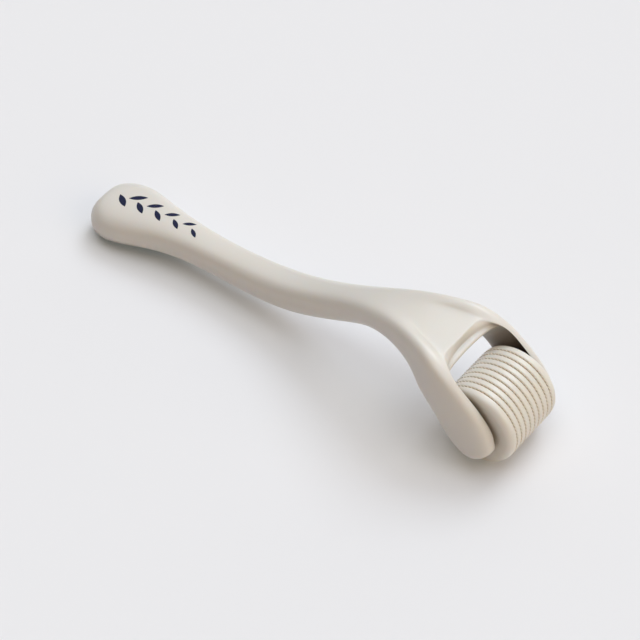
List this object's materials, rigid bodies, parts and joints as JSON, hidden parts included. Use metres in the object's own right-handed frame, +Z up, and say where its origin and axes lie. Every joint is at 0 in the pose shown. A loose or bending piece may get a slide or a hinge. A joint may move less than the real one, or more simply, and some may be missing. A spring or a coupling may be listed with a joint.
{
  "type": "derma roller",
  "caption": "Hand-held skin roller: a one-piece fork handle with a waisted grip and a free-turning drum of stacked needle discs.",
  "frame": {"origin": "centre of the overall length and width, on the surface the roller lies on", "axes": "+X from the handle's tail to the drum, +Y along the axle, +Z up"},
  "size_m": [0.1336, 0.0296, 0.0277],
  "materials": {
    "handle_plastic": "satin-gloss warm ivory moulding, with a faint sheen",
    "drum_plastic": "satin warm ivory, a touch pinker than the handle",
    "steel": "etched stainless steel sheet and turned stainless pin"
  },
  "bodies": {
    "grip": {"handle": "handle_plastic", "axle": "steel"},
    "drum": {"drum_hub": "drum_plastic", "end_cap_left": "drum_plastic", "end_cap_right": "drum_plastic", "needle_disc_1": "steel", "needle_disc_2": "steel", "needle_disc_3": "steel", "needle_disc_4": "steel", "needle_disc_5": "steel", "needle_disc_6": "steel", "needle_disc_7": "steel", "needle_disc_8": "steel", "needle_disc_9": "steel", "spacer_ring_1": "drum_plastic", "spacer_ring_2": "drum_plastic", "spacer_ring_3": "drum_plastic", "spacer_ring_4": "drum_plastic", "spacer_ring_5": "drum_plastic", "spacer_ring_6": "drum_plastic", "spacer_ring_7": "drum_plastic", "spacer_ring_8": "drum_plastic"}
  },
  "joints": [
    {"name": "drum_spin", "type": "hinge", "parent": "grip", "child": "drum", "pos_m": [0.05611, 0, 0.0107], "axis": [0, 1, 0], "continuous": true}
  ]
}
